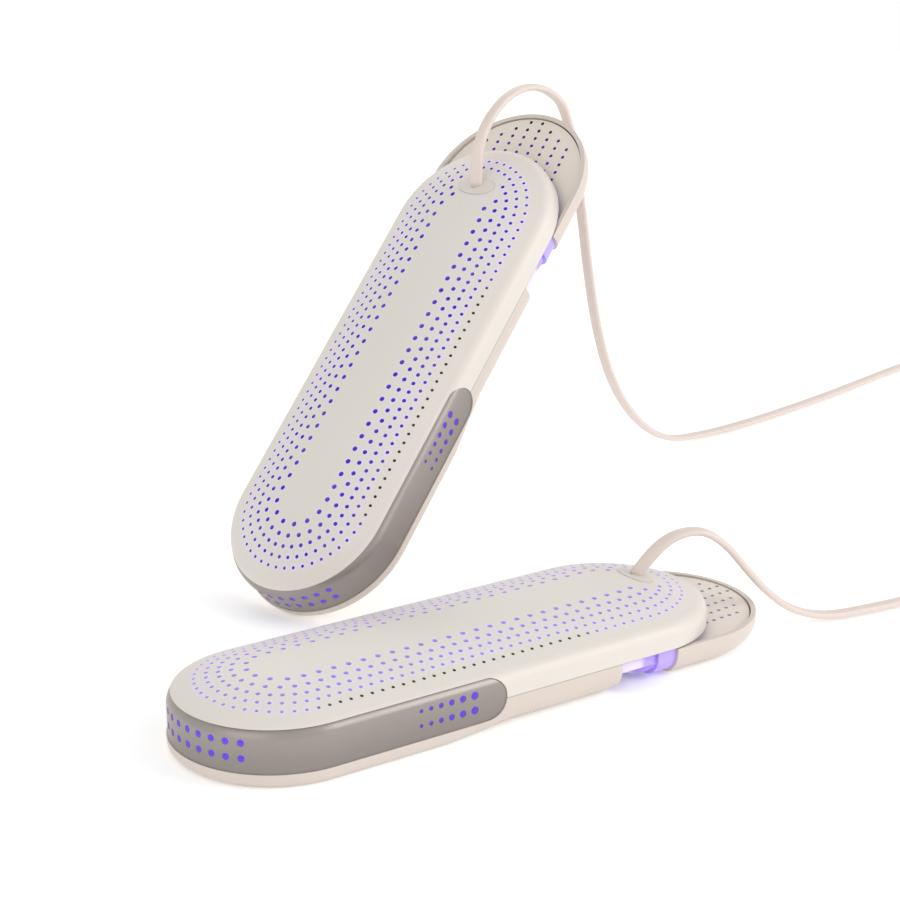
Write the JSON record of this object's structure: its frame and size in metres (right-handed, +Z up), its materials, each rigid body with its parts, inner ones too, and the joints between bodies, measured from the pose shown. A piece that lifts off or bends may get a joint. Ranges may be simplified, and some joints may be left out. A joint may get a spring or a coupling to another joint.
{
  "type": "boot dryer",
  "caption": "Pair of flat, perforated, heated inserts for drying boots, each with a telescopic heel, on one forked flat lead that ends in a two-pin plug.",
  "frame": {"origin": "on the surface the inserts stand on, under the middle of the box round the two inserts", "axes": "+X along the lying insert from toe to heel, +Y across it towards the leaning insert, +Z up"},
  "size_m": [0.6456, 0.2879, 0.1856],
  "materials": {
    "casing_ivory": "satin moulded, fine spark-eroded grain",
    "casing_beige": "satin moulded, a shade browner than the cover",
    "band_taupe": "matt moulded",
    "tray_violet": "translucent, lit from inside",
    "plate_greige": "matt moulded",
    "gland_beige": "soft matt",
    "cord_ivory": "soft PVC sheath",
    "plug_ivory": "moulded over the cord",
    "tie_grey": "hook-and-loop tape",
    "board_green": "solder-masked laminate",
    "led_violet": "clear violet resin",
    "electronics_dark": "epoxy and shrunk film",
    "mica_sheet": "pressed mica",
    "ceramic_grey": "fired ceramic with silvered faces",
    "fin_aluminium": "mill finish",
    "steel_screws": "zinc plated",
    "spring_steel": "cold rolled",
    "pin_nickel": "nickel plated",
    "wire_red": "silicone insulation",
    "inner_black": "glass-filled"
  },
  "bodies": {
    "inserts": {"lying_top_cover": "casing_ivory", "lying_bottom_shell": "casing_beige", "lying_vent_band": "band_taupe", "lying_cord_gland": "gland_beige", "lying_cord_clamp": "inner_black", "lying_clamp_screws": "steel_screws", "lying_case_screws": "steel_screws", "lying_led_board": "board_green", "lying_leds": "led_violet", "lying_board_parts": "electronics_dark", "lying_board_screws": "steel_screws", "lying_insulation_sheet": "mica_sheet", "lying_ptc_elements": "ceramic_grey", "lying_heater_fins": "fin_aluminium", "lying_heater_screws": "steel_screws", "lying_thermostat": "inner_black", "lying_thermal_fuse": "fin_aluminium", "lying_wiring": "wire_red", "lying_guide_rails": "inner_black", "lying_detent_springs": "spring_steel", "leaning_top_cover": "casing_ivory", "leaning_bottom_shell": "casing_beige", "leaning_vent_band": "band_taupe", "leaning_cord_gland": "gland_beige", "leaning_cord_clamp": "inner_black", "leaning_clamp_screws": "steel_screws", "leaning_case_screws": "steel_screws", "leaning_led_board": "board_green", "leaning_leds": "led_violet", "leaning_board_parts": "electronics_dark", "leaning_board_screws": "steel_screws", "leaning_insulation_sheet": "mica_sheet", "leaning_ptc_elements": "ceramic_grey", "leaning_heater_fins": "fin_aluminium", "leaning_heater_screws": "steel_screws", "leaning_thermostat": "inner_black", "leaning_thermal_fuse": "fin_aluminium", "leaning_wiring": "wire_red", "leaning_guide_rails": "inner_black", "leaning_detent_springs": "spring_steel", "lying_cord": "cord_ivory", "leaning_cord": "cord_ivory", "lead_splitter": "plug_ivory", "main_lead": "cord_ivory", "lead_coil": "cord_ivory", "lead_tail": "cord_ivory", "coil_tie": "tie_grey", "plug_body": "plug_ivory", "plug_pins": "pin_nickel"},
    "lying_heel": {"lying_slide_tray": "tray_violet", "lying_heel_shell": "casing_beige", "lying_heel_plate": "plate_greige", "lying_heel_screws": "steel_screws"},
    "leaning_heel": {"leaning_slide_tray": "tray_violet", "leaning_heel_shell": "casing_beige", "leaning_heel_plate": "plate_greige", "leaning_heel_screws": "steel_screws"}
  },
  "joints": [
    {"name": "lying_heel_slide", "type": "slide", "parent": "inserts", "child": "lying_heel", "axis": [1, 0, 0], "range_m": [-0.024, 0]},
    {"name": "leaning_heel_slide", "type": "slide", "parent": "inserts", "child": "leaning_heel", "axis": [0.6769, 0.2044, 0.7071], "range_m": [-0.024, 0]}
  ]
}
